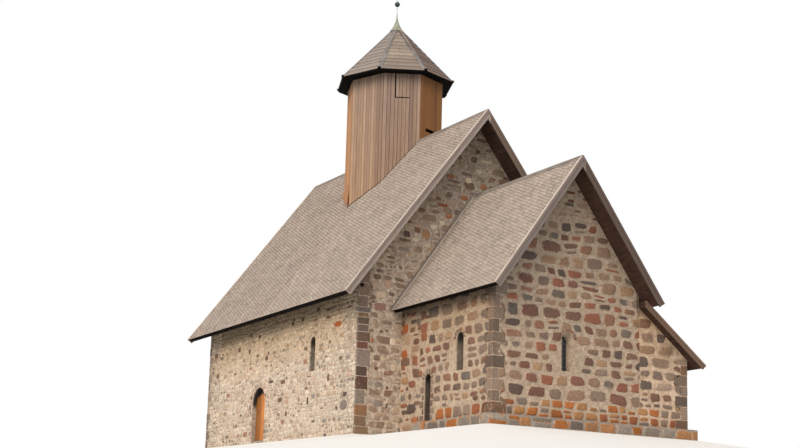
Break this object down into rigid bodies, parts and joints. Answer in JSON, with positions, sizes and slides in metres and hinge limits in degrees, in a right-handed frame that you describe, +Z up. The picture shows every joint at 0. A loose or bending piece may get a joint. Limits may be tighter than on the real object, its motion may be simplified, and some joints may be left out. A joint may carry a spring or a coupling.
{
  "type": "small stone chapel",
  "caption": "Small rubble-stone chapel with a nave, a lower chancel, a lean-to vestry, shingled roofs and a boarded octagonal ridge turret; its doors swing inwards.",
  "frame": {"origin": "middle of the footprint's bounding box, at the level of the lowest wall course", "axes": "+X to the east end along the ridge, +Y to the north, +Z up"},
  "size_m": [21.972, 11.8218, 20.2],
  "materials": {
    "masonry": "lime-pointed rubble",
    "dressed_stone": "weathered blocks",
    "floor_stone": "worn flags",
    "shingles": "weathered shingles",
    "weathered_boards": "silvered softwood boards",
    "turret_boards": "tarred vertical boards, worn brown",
    "door_boards": "oiled planks",
    "soffit_boards": "tarred boards",
    "cap_metal": "dull sheet metal with a green bloom",
    "glass": "old clear glass"
  },
  "bodies": {
    "building": {"nave_south_wall_west": "masonry", "nave_south_wall_east": "masonry", "nave_south_wall_over_door": "masonry", "nave_north_wall": "masonry", "nave_west_wall": "masonry", "nave_east_wall_south": "masonry", "nave_east_wall_north": "masonry", "nave_east_wall_over_arch": "masonry", "nave_east_gable": "masonry", "nave_floor": "floor_stone", "nave_wall_plates": "weathered_boards", "nave_roof_south": "shingles", "nave_roof_north": "shingles", "nave_bargeboards": "weathered_boards", "nave_window_panes": "glass", "chancel_south_wall_west": "masonry", "chancel_south_wall_east": "masonry", "chancel_south_wall_over_door": "masonry", "chancel_north_wall_west": "masonry", "chancel_north_wall_east": "masonry", "chancel_north_wall_over_passage": "masonry", "chancel_east_wall": "masonry", "chancel_floor": "floor_stone", "chancel_wall_plates": "weathered_boards", "chancel_roof_south": "shingles", "chancel_roof_north": "shingles", "ridge_boards": "weathered_boards", "chancel_bargeboards": "weathered_boards", "chancel_window_panes": "glass", "chancel_door_step": "dressed_stone", "vestry_north_wall": "masonry", "vestry_east_wall": "masonry", "vestry_west_wall": "masonry", "vestry_roof": "shingles", "vestry_bargeboards": "weathered_boards", "plinth": "dressed_stone", "turret_walls": "turret_boards", "turret_soffit": "soffit_boards", "turret_roof": "shingles", "turret_hip_boards": "weathered_boards", "turret_hatch": "turret_boards", "turret_cap": "cap_metal", "finial": "cap_metal"},
    "nave_door_leaf": {"nave_door": "door_boards"},
    "chancel_door_leaf": {"chancel_door": "turret_boards"}
  },
  "joints": [
    {"name": "nave_door_hinge", "type": "hinge", "parent": "building", "child": "nave_door_leaf", "pos_m": [-5.878, -4.624, 0.3], "axis": [0, 0, 1], "range_deg": [0, 90]},
    {"name": "chancel_door_hinge", "type": "hinge", "parent": "building", "child": "chancel_door_leaf", "pos_m": [5.382, -2.789, 0.45], "axis": [0, 0, 1], "range_deg": [0, 90]}
  ]
}
